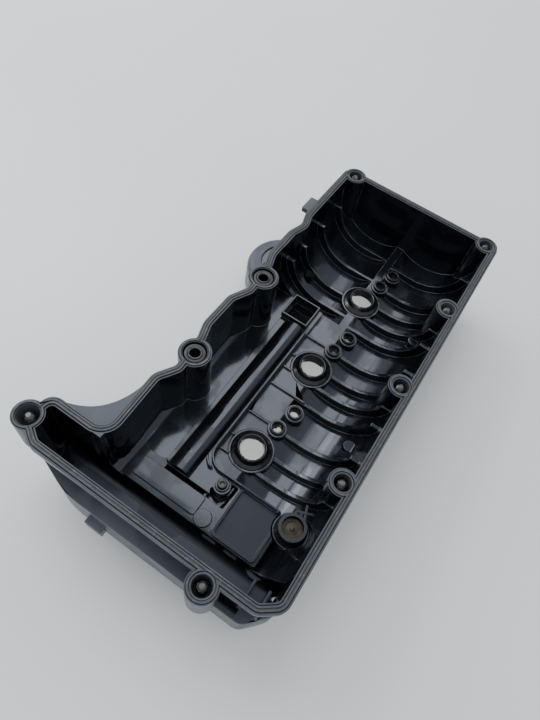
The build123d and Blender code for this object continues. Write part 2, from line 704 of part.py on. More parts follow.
with BuildPart() as plate_screw:
    with BuildSketch(at(SCREW_HOLE_Z + 1.0, *SCREW)):
        Circle(1.5)
    extrude(amount=PLATE_TOP + 2.0 - SCREW_HOLE_Z - 1.0)
    with BuildSketch(at(PLATE_TOP + 2.0, *SCREW)):
        Circle(SCREW_HEAD_R)
    extrude(amount=2.4)
    fillet(plate_screw.edges().sort_by(Axis.Z)[-1], 0.8)
    with BuildSketch(at(PLATE_TOP + 2.8, *SCREW)):
        RegularPolygon(1.7, 6)
    extrude(amount=2.0, mode=Mode.SUBTRACT)
save(plate_screw.part, "plate_screw")


def turned(x, y, profile):
    """A turned part on an upright axis at x, y, from its (radius, z) profile."""
    with BuildPart() as made:
        with BuildSketch(Plane((x, y, 0), x_dir=(1, 0, 0), z_dir=(0, -1, 0))):
            with BuildLine():
                Polyline(*profile, close=True)
            make_face()
        revolve(axis=Axis((x, y, 0), (0, 0, 1)))
    return made.part


# ---- seals round the injectors and the cam cap studs --------------------------------
for number, (x, y) in enumerate(INJECTORS, start=1):
    injector_seal = turned(x, y, [
        (SEAL_BORE_R, SEAL_LIP_Z), (SEAL_BORE_R, 36.6), (10.2, 37.4), (11.0, 36.6), (12.6, 34.0),
        (15.4, 32.4), (15.4, ROOF_Z + 0.6), (12.9, ROOF_Z + 0.6), (12.9, 25.0), (11.9, 25.0),
        (11.7, 30.0), (10.4, SEAL_LIP_Z),
    ])
    save(injector_seal, f"injector_seal_{number}")

for number, (x, y) in enumerate(STUD_PLACES, start=1):
    stud_seal = turned(x, y, [
        (3.7, 28.0), (3.7, 32.5), (4.1, STUD_RIM_Z - 0.6), (4.6, STUD_RIM_Z), (5.6, STUD_RIM_Z - 0.4),
        (6.0, STUD_BASE_Z), (4.9, STUD_BASE_Z), (4.9, 28.0),
    ])
    save(stud_seal, f"stud_seal_{number}")

# ---- captive bolts -----------------------------------------------------------------
for name, (x, y, boss_r, cup_r, foot_z) in BOLTS.items():
    with BuildPart() as bolt:
        with BuildSketch(at(HEAD_Z - HEX_H - HEAD_FLANGE_T, x, y)):
            RegularPolygon(HEX_R, 6)
        extrude(amount=HEX_H)
        with BuildSketch(at(HEAD_Z - HEAD_FLANGE_T, x, y)):
            Circle(HEAD_FLANGE_R)
        extrude(amount=HEAD_FLANGE_T)
        with BuildSketch(at(HEAD_Z, x, y)):
            Circle(BOLT_R)
        extrude(amount=BOLT_TIP_Z - HEAD_Z)
        chamfer(bolt.edges().sort_by(Axis.Z)[-1], BOLT_POINT)
        with BuildSketch(at(HEAD_Z - HEX_H - HEAD_FLANGE_T, x, y)):
            Circle(HEX_R - 2.0)
        extrude(amount=HEX_DISH, mode=Mode.SUBTRACT)
    save(bolt.part, name)
    number = name.split("_")[1]
    washer = turned(x, y, [
        (BOLT_R + 0.2, HEAD_Z + 0.2), (BOLT_R + 0.2, HEAD_Z + 1.6),
        (HEAD_FLANGE_R - 0.4, HEAD_Z + 1.2), (HEAD_FLANGE_R - 0.4, HEAD_Z + 0.2),
    ])
    save(washer, f"washer_{number}")
    bolt_bush = turned(x, y, [
        (BOLT_R + 0.3, SEAT_Z + 0.5), (BOLT_R + 0.3, GUIDE_TOP - 2.0), (GUIDE_R, GUIDE_TOP - 2.0),
        (GUIDE_R, SEAT_Z + 0.5),
    ])
    save(bolt_bush, f"bolt_bush_{number}")

# ---- open stations: rubber bush and steel sleeve ---------------------------------------
for number, (x, y) in enumerate(OPEN_STATIONS, start=1):
    sleeve_grommet = turned(x, y, [
        (SLEEVE_OUT_R, SLEEVE_SEAT_Z), (SLEEVE_OUT_R, TOP - 1.2), (SLEEVE_OUT_R + 0.8, TOP - 0.8),
        (7.4, TOP - 1.0), (7.6, TOP - 1.6), (7.6, TOP - 4.0), (OPEN_BORE_R, TOP - 5.0),
        (OPEN_BORE_R, SLEEVE_SEAT_Z),
    ])
    save(sleeve_grommet, f"sleeve_grommet_{number}")
    sleeve = turned(x, y, [
        (SLEEVE_R, SLEEVE_SEAT_Z - 2.0), (SLEEVE_R, TOP - 0.9), (SLEEVE_R + 0.5, TOP - 0.4),
        (SLEEVE_OUT_R, TOP - 0.4), (SLEEVE_OUT_R, SLEEVE_SEAT_Z - 2.0),
    ])
    save(sleeve, f"spacer_sleeve_{number}")

# ---- drain valve --------------------------------------------------------------------
valve_x, valve_y = VALVE
valve_cup = turned(valve_x, valve_y, [
    (1.8, 31.0), (1.8, VALVE_SEAT_Z + 1.6), (4.6, VALVE_SEAT_Z + 1.6), (4.6, VALVE_SEAT_Z + 3.2),
    (8.2, VALVE_SEAT_Z + 4.0), (8.2, VALVE_TOP_Z), (VALVE_R, VALVE_TOP_Z), (VALVE_R, VALVE_SEAT_Z + 1.5),
    (11.4, VALVE_SEAT_Z), (2.9, VALVE_SEAT_Z), (2.9, 31.0),
])
save(valve_cup, "valve_cup")
valve_disc = turned(valve_x, valve_y, [
    (0, VALVE_SEAT_Z + 4.4), (0, VALVE_SEAT_Z + 6.9), (1.3, VALVE_SEAT_Z + 6.7), (1.6, VALVE_SEAT_Z + 5.6),
    (4.6, VALVE_SEAT_Z + 5.4), (4.9, VALVE_SEAT_Z + 5.9), (7.3, VALVE_SEAT_Z + 5.9),
    (7.7, VALVE_SEAT_Z + 5.5),
    (7.7, VALVE_SEAT_Z + 4.6), (7.3, VALVE_SEAT_Z + 4.4),
])
save(valve_disc, "valve_disc")
with BuildPart() as valve_clip:
    with BuildSketch(at(VALVE_TOP_Z, *VALVE)):
        Circle(VALVE_R)
        with Locations(CLIP_EYE):
            Circle(2.6)
            Circle(1.2, mode=Mode.SUBTRACT)
        for angle in CLIP_PRONGS:
            with Locations(Location((*CLIP_CROSS, 0), (0, 0, angle))):
                Rectangle(11.0, 1.5)
        Circle(7.4, mode=Mode.SUBTRACT)
    extrude(amount=1.0)
save(valve_clip.part, "valve_clip")

# ---- oil filler cap and its seal ---------------------------------------------------------
with BuildPart() as filler_cap:
    with BuildSketch(at(CAP_Z, *FILLER)):
        Circle(CAP_R)
        with PolarLocations(CAP_R + 1.6, CAP_GRIPS):
            Circle(2.6, mode=Mode.SUBTRACT)
    extrude(amount=CAP_H)
    chamfer(filler_cap.faces().sort_by(Axis.Z)[0].edges(), 0.8)
    with BuildSketch(at(CAP_Z + CAP_H, *FILLER)):
        Circle(CAP_PLUG_R)
    extrude(amount=LEDGE_Z + LEDGE_T + 4.0 - CAP_Z - CAP_H)
    with BuildSketch(at(LEDGE_Z + LEDGE_T + 0.4, *FILLER)):
        with PolarLocations(CAP_PLUG_R - 1.8, 2, start_angle=90.0):
            Rectangle(5.0, LUG_W - 1.0)
    extrude(amount=3.0)
    with BuildSketch(at(CAP_Z + 3.0, *FILLER)):
        Circle(CAP_PLUG_R - 3.0)
    extrude(amount=40.0, mode=Mode.SUBTRACT)
    with BuildSketch(at(CAP_Z - 0.8, *FILLER)):
        Rectangle(34.0, 6.0)
    extrude(amount=1.5)
save(filler_cap.part, "filler_cap")
cap_x, cap_y = FILLER
cap_seal = turned(cap_x, cap_y, [
    (CAP_PLUG_R + 0.1, CAP_Z + CAP_H), (CAP_PLUG_R + 0.1, FILLER_RIM_Z - 0.6),
    (CAP_PLUG_R + 0.6, FILLER_RIM_Z - 0.25), (FILLER_R - 1.0, FILLER_RIM_Z - 0.25),
    (FILLER_R - 0.4, FILLER_RIM_Z - 0.6), (FILLER_R - 0.4, CAP_Z + CAP_H),
])
save(cap_seal, "cap_seal")

# ---- pressure regulator ------------------------------------------------------------------
reg_x, reg_y = REGULATOR
regulator_lid = turned(reg_x, reg_y, [
    (0, 2.0), (0, 4.4), (REGULATOR_R - WALL - 2.2, 4.4), (REGULATOR_R - WALL - 2.2, REGULATOR_RIM + 1.5),
    (REGULATOR_R - WALL - 0.1, REGULATOR_RIM + 1.5), (REGULATOR_R - WALL - 0.1, REGULATOR_RIM),
    (REGULATOR_R, REGULATOR_RIM), (REGULATOR_R, 4.0), (REGULATOR_R - 2.0, 2.0),
    (24.0, 2.0), (22.0, 3.0), (12.0, 3.0), (10.0, 2.0),
])
save(regulator_lid, "regulator_lid")
diaphragm = turned(reg_x, reg_y, [
    (PISTON_R + 0.3, 11.0), (PISTON_R + 0.3, 12.0), (20.0, 12.0), (22.5, 14.5), (25.0, 12.0),
    (REGULATOR_R - WALL - 0.1, 12.0), (REGULATOR_R - WALL - 0.1, REGULATOR_RIM + 1.5),
    (27.0, REGULATOR_RIM + 1.5), (27.0, 10.6), (24.4, 11.0), (22.5, 13.2), (20.6, 11.0),
])
save(diaphragm, "diaphragm")
regulator_piston = turned(reg_x, reg_y, [
    (0, 10.0), (0, 13.0), (SPRING_R - 2.5, 13.0), (SPRING_R - 2.5, 15.0), (SPRING_R - 1.4, 15.0),
    (SPRING_R - 1.4, SPRING_FOOT_Z), (PISTON_R, SPRING_FOOT_Z), (PISTON_R, 10.0),
])
save(regulator_piston, "regulator_piston")
with BuildPart() as regulator_spring:
    with BuildLine() as coil:
        Helix(
            pitch=SPRING_PITCH,
            height=SPRING_TURNS * SPRING_PITCH,
            radius=SPRING_R,
            center=(reg_x, reg_y, SPRING_FOOT_Z + SPRING_WIRE_R),
        )
    with BuildSketch(Plane(coil.line @ 0, z_dir=coil.line % 0)):
        Circle(SPRING_WIRE_R)
    sweep()
save(regulator_spring.part, "regulator_spring")

with BuildPart() as breather_nozzle:
    with BuildSketch(Plane.YZ.offset(NOZZLE_FACE_X - SPIGOT_L)):
        with Locations((NOZZLE_Y, NOZZLE_Z)):
            Circle(SPIGOT_R)
    extrude(amount=SPIGOT_L)
    with BuildSketch(Plane.YZ.offset(NOZZLE_FACE_X)):
        with Locations((NOZZLE_Y, NOZZLE_Z)):
            Circle(NOZZLE_PAD_R)
    extrude(amount=2.5)
    with BuildSketch(Plane.YZ.offset(NOZZLE_FACE_X)):
        with Locations((NOZZLE_Y, NOZZLE_Z)):
            Circle(NOZZLE_R)
    extrude(amount=NOZZLE_L)
    chamfer(breather_nozzle.edges().sort_by(Axis.X)[-1], 1.0)
    with BuildSketch(Plane.YZ.offset(NOZZLE_FACE_X - 9.0)):
        with Locations((NOZZLE_Y, NOZZLE_Z)):
            Circle(NOZZLE_BORE_R)
    extrude(amount=NOZZLE_L + 20.0, mode=Mode.SUBTRACT)
save(breather_nozzle.part, "breather_nozzle")

# ---- threaded inserts in the trim cover posts ---------------------------------------------
for number, (x, y) in enumerate(POSTS, start=1):
    insert = turned(x, y, [
        (INSERT_BORE_R, 0.4), (INSERT_BORE_R, INSERT_L), (INSERT_R, INSERT_L), (INSERT_R, 8.5),
        (INSERT_R - 0.5, 8.2),
        (INSERT_R - 0.5, 4.8), (INSERT_R, 4.5), (INSERT_R, 0.4),
    ])
    save(insert, f"trim_insert_{number}")
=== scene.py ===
import json
import math

import bmesh
import bpy
from mathutils import Matrix, Quaternion, Vector
from mathutils.bvhtree import BVHTree

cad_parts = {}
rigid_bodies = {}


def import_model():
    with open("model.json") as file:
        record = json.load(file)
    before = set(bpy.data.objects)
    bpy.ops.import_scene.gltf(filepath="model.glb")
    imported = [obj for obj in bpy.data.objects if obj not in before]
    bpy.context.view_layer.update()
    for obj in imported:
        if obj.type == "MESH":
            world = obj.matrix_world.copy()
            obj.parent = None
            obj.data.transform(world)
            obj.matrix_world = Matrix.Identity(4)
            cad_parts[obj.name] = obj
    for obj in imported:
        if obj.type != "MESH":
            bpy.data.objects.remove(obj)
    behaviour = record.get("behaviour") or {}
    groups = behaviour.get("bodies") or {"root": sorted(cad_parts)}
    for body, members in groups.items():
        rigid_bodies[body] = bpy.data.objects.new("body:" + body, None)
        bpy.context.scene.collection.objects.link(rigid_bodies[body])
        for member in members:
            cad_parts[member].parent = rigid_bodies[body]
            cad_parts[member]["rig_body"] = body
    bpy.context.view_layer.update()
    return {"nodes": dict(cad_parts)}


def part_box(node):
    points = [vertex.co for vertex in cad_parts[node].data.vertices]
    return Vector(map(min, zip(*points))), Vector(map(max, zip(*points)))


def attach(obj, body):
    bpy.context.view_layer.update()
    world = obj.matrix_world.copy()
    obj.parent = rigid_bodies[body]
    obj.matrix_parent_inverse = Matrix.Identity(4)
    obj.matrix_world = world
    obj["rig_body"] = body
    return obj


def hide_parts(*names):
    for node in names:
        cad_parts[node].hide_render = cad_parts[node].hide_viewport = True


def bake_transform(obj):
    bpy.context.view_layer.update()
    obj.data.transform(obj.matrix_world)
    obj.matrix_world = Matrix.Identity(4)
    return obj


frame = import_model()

MM = 0.001
UP = Vector((0, 0, 1))
DOWN = Vector((0, 0, -1))
GASKET_FACE = 80.0 * MM


def link(obj):
    bpy.context.scene.collection.objects.link(obj)
    return obj


def axis_of(node):
    """The x and y of a turned node's upright axis."""
    low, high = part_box(node)
    return (low.x + high.x) / 2, (low.y + high.y) / 2


# ---- camera and light ----------------------------------------------------------------
CAMERA_AT = (-0.21668, -0.07830, 0.39699)
CAMERA_TARGET = (-0.0329, -0.0063, 0.080)
CAMERA_ROLL = math.radians(13.95)
CAMERA_LENS = 27.05
CAMERA_NEAR = 0.01
WORLD_COLOUR = (0.90, 0.94, 1.0)
WORLD_STRENGTH = 0.92

# name: position, target, width, depth, power, colour
SOFTBOXES = {
    "ceiling": ((0.785, 0.40, 1.40), (0.785, 0.40, 0), 1.27, 0.64, 8.0, (0.97, 0.98, 1.0)),
    "window": ((0.30, 1.50, 1.25), (0, 0, 0), 1.3, 0.7, 11.0, (0.97, 0.99, 1.0)),
    "far_strip": ((0.60, 1.16, 1.40), (0.60, 1.16, 0), 1.6, 0.64, 9.0, (0.97, 0.98, 1.0)),
}

# Narrow lamps from the camera's place, which light the table seen through the openings.
# node round the opening: radius of the lit disc
OPENINGS = {
    "injector_seal_1": 0.0090,
    "injector_seal_2": 0.0090,
    "injector_seal_3": 0.0090,
    "stud_seal_1": 0.0035,
    "stud_seal_2": 0.0035,
}
OPENING_Z = 0.034
OPENING_GLOW = 2.3              # light on the table there, in watts a square metre
OPENING_BLEND = 0.1             # how soft the disc's edge is
OPENING_LAMP_R = 0.001


def looking(position, target, roll=0.0):
    """The transform of something that looks down its own -Z from position at target."""
    turn = (Vector(target) - Vector(position)).to_track_quat("-Z", "Y")
    turn = turn @ Quaternion((0.0, 0.0, 1.0), roll)
    return Matrix.Translation(position) @ turn.to_matrix().to_4x4()


def make_camera():
    data = bpy.data.cameras.new("camera")
    data.lens = CAMERA_LENS
    data.clip_start = CAMERA_NEAR
    camera = link(bpy.data.objects.new("camera", data))
    camera.matrix_world = looking(CAMERA_AT, CAMERA_TARGET, CAMERA_ROLL)
    bpy.context.scene.camera = camera


def make_lamp(name, kind, position, target):
    """A lamp at position that points at target, and returns its settings."""
    data = bpy.data.lights.new(name, kind)
    link(bpy.data.objects.new(name, data)).matrix_world = looking(position, target)
    return data


def make_light():
    world = bpy.data.worlds.new("studio")
    bpy.context.scene.world = world
    world.use_nodes = True
    background = world.node_tree.nodes["Background"]
    background.inputs["Color"].default_value = (*WORLD_COLOUR, 1.0)
    background.inputs["Strength"].default_value = WORLD_STRENGTH
    for name, (position, target, width, depth, power, colour) in SOFTBOXES.items():
        lamp = make_lamp(name, "AREA", position, target)
        lamp.shape = "RECTANGLE"
        lamp.size = width
        lamp.size_y = depth
        lamp.energy = power
        lamp.color = colour
    for node, radius in OPENINGS.items():
        target = (*axis_of(node), OPENING_Z)
        reach = math.dist(CAMERA_AT, target)
        lamp = make_lamp("through_" + node, "SPOT", CAMERA_AT, target)
        lamp.energy = OPENING_GLOW * 4.0 * math.pi * reach ** 2
        lamp.spot_size = 2.0 * math.atan(radius / reach)
        lamp.spot_blend = OPENING_BLEND
        lamp.shadow_soft_size = OPENING_LAMP_R


# ---- materials -------------------------------------------------------------------------
MIX_BASE, MIX_TOP, MIX_RESULT = 6, 7, 2      # the colour sockets of a mix node
EDGE = "edge"                                # the mesh attribute that marks rounded edges
SHEEN = (0.76, 0.86, 1.0, 1.0)               # the cool cast of light off black plastic
FLOOR_COLOUR = (0.86, 0.86, 0.845)


def scaled(colour, factor, offset=0.0):
    return tuple(factor * channel + offset for channel in colour)


class Finish:
    """A material whose colour, roughness and bump are built up from noise in millimetres."""

    def __init__(self, name, colour, roughness, **sockets):
        self.material = bpy.data.materials.new(name)
        self.material.use_nodes = True
        self.nodes = self.material.node_tree.nodes
        self.links = self.material.node_tree.links
        self.shader = self.nodes["Principled BSDF"]
        self.shader.inputs["Base Color"].default_value = (*colour, 1.0)
        self.shader.inputs["Roughness"].default_value = roughness
        for socket, value in sockets.items():
            self.shader.inputs[socket.replace("_", " ")].default_value = value
        self.place = self.nodes.new("ShaderNodeTexCoord").outputs["Object"]
        self.normal = None

    def noise(self, size, detail=3.0, stretch=(1.0, 1.0, 1.0)):
        """Noise from 0 to 1 whose features measure about size, in millimetres."""
        texture = self.nodes.new("ShaderNodeTexNoise")
        texture.inputs["Scale"].default_value = 1.0 / (size * MM)
        texture.inputs["Detail"].default_value = detail
        mapping = self.nodes.new("ShaderNodeMapping")
        mapping.inputs["Scale"].default_value = stretch
        self.links.new(self.place, mapping.inputs["Vector"])
        self.links.new(mapping.outputs["Vector"], texture.inputs["Vector"])
        return texture.outputs["Fac"]

    def spread(self, value, low, high, to_low=0.0, to_high=1.0):
        """Value from low..high, carried smoothly onto to_low..to_high."""
        node = self.nodes.new("ShaderNodeMapRange")
        node.interpolation_type = "SMOOTHSTEP"
        ends = {"From Min": low, "From Max": high, "To Min": to_low, "To Max": to_high}
        for socket, number in ends.items():
            node.inputs[socket].default_value = number
        self.links.new(value, node.inputs["Value"])
        return node.outputs["Result"]

    def times(self, one, other):
        node = self.nodes.new("ShaderNodeMath")
        node.operation = "MULTIPLY"
        self.links.new(one, node.inputs[0])
        self.links.new(other, node.inputs[1])
        return node.outputs[0]

    def blend(self, factor, base, top):
        """Base colour to top colour by factor. Either may be a socket."""
        node = self.nodes.new("ShaderNodeMix")
        node.data_type = "RGBA"
        self.links.new(factor, node.inputs["Factor"])
        for number, colour in ((MIX_BASE, base), (MIX_TOP, top)):
            if isinstance(colour, tuple):
                node.inputs[number].default_value = (*colour, 1.0)
            else:
                self.links.new(colour, node.inputs[number])
        return node.outputs[MIX_RESULT]

    def colour(self, socket):
        self.links.new(socket, self.shader.inputs["Base Color"])
        return self

    def roughness(self, socket):
        self.links.new(socket, self.shader.inputs["Roughness"])
        return self

    def bump(self, height, depth, strength=1.0):
        """Bump of depth millimetres, on top of any bump before it."""
        node = self.nodes.new("ShaderNodeBump")
        node.inputs["Distance"].default_value = depth * MM
        node.inputs["Strength"].default_value = strength
        self.links.new(height, node.inputs["Height"])
        if self.normal:
            self.links.new(self.normal, node.inputs["Normal"])
        self.normal = node.outputs["Normal"]
        self.links.new(self.normal, self.shader.inputs["Normal"])
        return self

    def edge(self):
        """1 on rounded edges, 0 on faces, as rounded() left it in the mesh."""
        node = self.nodes.new("ShaderNodeAttribute")
        node.attribute_name = EDGE
        return node.outputs["Fac"]


def moulded(name, dark, edge_highlight_and_wear, roughness, grain, coat):
    """Moulded black plastic: dark on the faces, with cloudy patches, and paler in patches on every
    rounded edge, inner corners too: painted edge highlight, with some wear.
    """
    low, high = roughness
    finish = Finish(name, dark, low, Coat_Weight=coat, Coat_Roughness=0.08, IOR=1.5)
    finish.shader.inputs["Specular Tint"].default_value = SHEEN
    patches = finish.noise(34.0, 4.0)
    smears = finish.noise(9.0, 5.0, (0.35, 1.0, 1.0))
    # every rounded edge, inner corners too, is painted paler in patches: painted edge highlight,
    # with some wear
    edge_patches = finish.spread(finish.noise(5.0), 0.35, 0.65, 0.15, 0.85)
    edge = finish.times(finish.edge(), edge_patches)
    film = finish.spread(patches, 0.42, 0.60)
    base = finish.blend(film, dark, scaled(dark, 1.5))
    finish.colour(finish.blend(edge, base, edge_highlight_and_wear))
    finish.roughness(finish.spread(finish.times(film, smears), 0.10, 0.55, low, high))
    finish.bump(finish.noise(14.0, 2.0), 0.10, 0.5)
    finish.bump(finish.noise(grain, 2.0), 0.02, 0.6)
    return finish.material


def rubber(name, dark, roughness, grain):
    """Black rubber with a thin dust on it."""
    finish = Finish(name, dark, roughness, IOR=1.52)
    dust = finish.spread(finish.noise(3.0, 6.0), 0.50, 0.72)
    finish.colour(finish.blend(dust, dark, scaled(dark, 1.7, 0.004)))
    film = finish.noise(7.0, 4.0)
    finish.roughness(finish.spread(film, 0.3, 0.7, roughness - 0.10, roughness + 0.12))
    finish.bump(finish.noise(grain, 3.0), 0.03, 0.7)
    return finish.material


def metal(name, colour, dull, roughness, brushed):
    """Metal with duller stains. Its grain is drawn out along the axes that brushed makes small."""
    finish = Finish(name, colour, roughness, Metallic=1.0)
    stain = finish.spread(finish.noise(4.0, 5.0), 0.40, 0.68)
    finish.colour(finish.blend(stain, colour, dull))
    film = finish.noise(1.6, 3.0)
    finish.roughness(finish.spread(film, 0.3, 0.7, roughness - 0.08, roughness + 0.14))
    finish.bump(finish.noise(0.35, 2.0, brushed), 0.012, 0.6)
    return finish.material


def clear_brown(name):
    """The drain valve's disc: smoky, slightly see-through plastic with an oil film."""
    finish = Finish(name, (0.08, 0.067, 0.05), 0.18, Transmission_Weight=0.20, IOR=1.30)
    cloud = finish.spread(finish.noise(5.0, 4.0), 0.35, 0.70)
    finish.colour(finish.blend(cloud, (0.085, 0.070, 0.052), (0.035, 0.029, 0.023)))
    finish.roughness(finish.spread(finish.noise(2.5), 0.3, 0.7, 0.10, 0.30))
    finish.bump(finish.noise(2.0, 2.0), 0.03, 0.5)
    return finish.material


def table_top(name):
    """Smooth pale grey board, a little cloudy."""
    finish = Finish(name, FLOOR_COLOUR, 0.32, IOR=1.45)
    cloud = finish.spread(finish.noise(420.0, 3.0), 0.3, 0.7)
    finish.colour(finish.blend(cloud, FLOOR_COLOUR, scaled(FLOOR_COLOUR, 0.965)))
    finish.bump(finish.noise(2.2, 3.0), 0.02, 0.25)
    return finish.material


# name: colour of the faces, colour of the rounded edges (painted edge highlight, with some wear),
# roughness from and to, grain size, coat
MOULDED = {
    "shell_inside": ((0.0042, 0.0046, 0.0060), (0.060, 0.065, 0.075), (0.13, 0.36), 1.2, 0.35),
    "shell_flange": ((0.052, 0.055, 0.061), (0.105, 0.110, 0.120), (0.40, 0.56), 0.5, 0.0),
    "shell_outside": ((0.056, 0.060, 0.068), (0.105, 0.110, 0.120), (0.36, 0.54), 0.6, 0.0),
    "plate_plastic": ((0.0055, 0.0058, 0.0072), (0.034, 0.036, 0.042), (0.15, 0.40), 0.9, 0.3),
    "guard_plastic": ((0.0110, 0.0116, 0.0135), (0.050, 0.053, 0.060), (0.50, 0.62), 0.5, 0.0),
    "cap_plastic": ((0.014, 0.014, 0.015), (0.045, 0.045, 0.047), (0.36, 0.55), 0.5, 0.0),
    "clip_plastic": ((0.008, 0.008, 0.009), (0.05, 0.05, 0.052), (0.14, 0.34), 0.8, 0.3),
}
# name: colour, roughness, grain size
RUBBERS = {
    "gasket_rubber": ((0.048, 0.051, 0.055), 0.52, 0.6),
    "seal_rubber": ((0.006, 0.006, 0.008), 0.20, 1.5),
    "bush_rubber": ((0.016, 0.017, 0.019), 0.46, 0.8),
}
# name: colour, colour of stains, roughness, stretch of the grain
METALS = {
    "bolt_steel": ((0.13, 0.125, 0.12), (0.05, 0.047, 0.045), 0.36, (1.0, 1.0, 1.0)),
    "dull_steel": ((0.075, 0.075, 0.078), (0.035, 0.034, 0.034), 0.42, (1.0, 1.0, 0.2)),
    "bright_steel": ((0.42, 0.42, 0.42), (0.22, 0.21, 0.20), 0.32, (1.0, 1.0, 0.2)),
    "brass": ((0.56, 0.38, 0.14), (0.34, 0.24, 0.10), 0.34, (1.0, 1.0, 1.0)),
}
MATERIALS = {name: moulded(name, *row) for name, row in MOULDED.items()}
MATERIALS.update({name: rubber(name, *row) for name, row in RUBBERS.items()})
MATERIALS.update({name: metal(name, *row) for name, row in METALS.items()})
MATERIALS["valve_plastic"] = clear_brown("valve_plastic")


# ---- rounded copies of the CAD nodes -----------------------------------------------------
WELD = 2e-6                     # corners closer than this are one corner
FLAT = math.radians(0.25)       # facets that meet flatter than this are one face
CREASE = math.radians(26.0)     # edges that turn more than this are rounded
SHARP = math.radians(40.0)      # edges that turn more than this shade as an edge
LONG = 0.1                      # a node longer than this is cut up before its edges are rounded
CUT_STEP = 14.0                 # spacing of those cuts, in millimetres
CUT_SHIFT = 0.37                # how far they stand back from the node's end, in steps
OVERSHOOT = 0.8                 # a rounded corner this far off the surface, in widths, is put back
FACE_WEIGHT = 80                # how much the large faces rule the shading


def cleaned(source):
    """A bmesh of the node with its triangles joined back into faces."""
    mesh = bmesh.new()
    mesh.from_mesh(source.data)
    bmesh.ops.remove_doubles(mesh, verts=mesh.verts, dist=WELD)
    bmesh.ops.dissolve_degenerate(mesh, edges=mesh.edges, dist=WELD)
    bmesh.ops.dissolve_limit(mesh, angle_limit=FLAT, verts=mesh.verts, edges=mesh.edges)
    return mesh


def cut_up(mesh):
    """Cuts the mesh along upright planes, so that no face is long and winding."""
    step = CUT_STEP * MM
    for axis in (0, 1):
        low = min(vertex.co[axis] for vertex in mesh.verts)
        high = max(vertex.co[axis] for vertex in mesh.verts)
        normal = [0.0, 0.0, 0.0]
        normal[axis] = 1.0
        for number in range(1, int((high - low) / step) + 1):
            place = [0.0, 0.0, 0.0]
            place[axis] = low + (number - CUT_SHIFT) * step
            bmesh.ops.bisect_plane(
                mesh, geom=mesh.verts[:] + mesh.edges[:] + mesh.faces[:], dist=WELD,
                plane_co=place, plane_no=normal,
            )


def rounded(mesh, width, fine_width=None, fine_above=math.inf):
    """Rounds every crease by width, or by fine_width where it lies wholly above a height.

    The new faces are marked in the attribute edge.
    """
    surface = BVHTree.FromBMesh(mesh)
    mark = mesh.faces.layers.float.new(EDGE)
    level = mesh.edges.layers.int.new("level")
    smooth, coarse, fine = 0, 1, 2
    for edge in mesh.edges:
        if len(edge.link_faces) == 2 and edge.calc_face_angle(0.0) > CREASE:
            edge[level] = fine if min(vertex.co.z for vertex in edge.verts) > fine_above else coarse
    for wanted, offset in ((fine, fine_width), (coarse, width)):
        creases = [edge for edge in mesh.edges if edge[level] == wanted]
        if not creases:
            continue
        made = bmesh.ops.bevel(
            mesh, geom=creases, offset=offset, offset_type="OFFSET", segments=2, profile=0.5,
            affect="EDGES", clamp_overlap=False, loop_slide=True, material=-1,
        )
        for face in made["faces"]:
            face[mark] = 1.0
            for edge in face.edges:
                edge[level] = smooth
        # where short edges made a corner overshoot, it goes back onto the surface
        for vertex in made["verts"]:
            place, normal, index, distance = surface.find_nearest(vertex.co)
            if distance > OVERSHOOT * offset:
                vertex.co = place
    bmesh.ops.dissolve_degenerate(mesh, edges=mesh.edges, dist=WELD)


def piece_from(mesh, name, materials):
    """A smooth-shaded object from a bmesh, whose faces keep their material numbers."""
    data = bpy.data.meshes.new(name)
    mesh.to_mesh(data)
    mesh.free()
    for material in materials:
        data.materials.append(MATERIALS[material])
    data.shade_smooth()
    data.set_sharp_from_angle(angle=SHARP)
    piece = link(bpy.data.objects.new(name, data))
    weighted = piece.modifiers.new("flat_faces", "WEIGHTED_NORMAL")
    weighted.keep_sharp = True
    weighted.weight = FACE_WEIGHT
    return piece


def fitted(piece, body):
    """Puts a finished piece on a body."""
    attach(piece, body)


# ---- the nodes but for the shell -----------------------------------------------------------
BOLTS = [f"bolt_{number}" for number in range(1, 8)]
GUARD_X = (-142.0, -103.5)      # the separator plate's matt guard, in millimetres
GUARD_Y = (-71.0, -37.0)
GUARD_Z = 35.9                  # its faces are all above this

# prefix of the nodes' names: how many there are, material, edge radius in millimetres
NUMBERED = {
    "bolt_": (7, "bolt_steel", 0.15),
    "washer_": (7, "bright_steel", 0.10),
    "bolt_bush_": (7, "bush_rubber", 0.15),
    "injector_seal_": (3, "seal_rubber", 0.30),
    "stud_seal_": (6, "seal_rubber", 0.20),
    "sleeve_grommet_": (2, "bush_rubber", 0.15),
    "spacer_sleeve_": (2, "dull_steel", 0.15),
    "trim_insert_": (4, "brass", 0.15),
}
# node: material, edge radius in millimetres
SINGLE = {
    "perimeter_gasket": ("gasket_rubber", 0.18),
    "separator_plate": ("plate_plastic", 0.35),
    "plate_screw": ("dull_steel", 0.12),
    "valve_cup": ("clip_plastic", 0.20),
    "valve_disc": ("valve_plastic", 0.20),
    "valve_clip": ("clip_plastic", 0.20),
    "filler_cap": ("cap_plastic", 0.35),
    "cap_seal": ("seal_rubber", 0.20),
    "regulator_lid": ("cap_plastic", 0.40),
    "diaphragm": ("bush_rubber", 0.20),
    "regulator_piston": ("clip_plastic", 0.25),
    "regulator_spring": ("bright_steel", 0.0),
    "breather_nozzle": ("cap_plastic", 0.25),
}


def in_guard(place):
    sides = zip(place, (GUARD_X, GUARD_Y))
    return place.z > GUARD_Z * MM and all(low * MM < at < high * MM for at, (low, high) in sides)


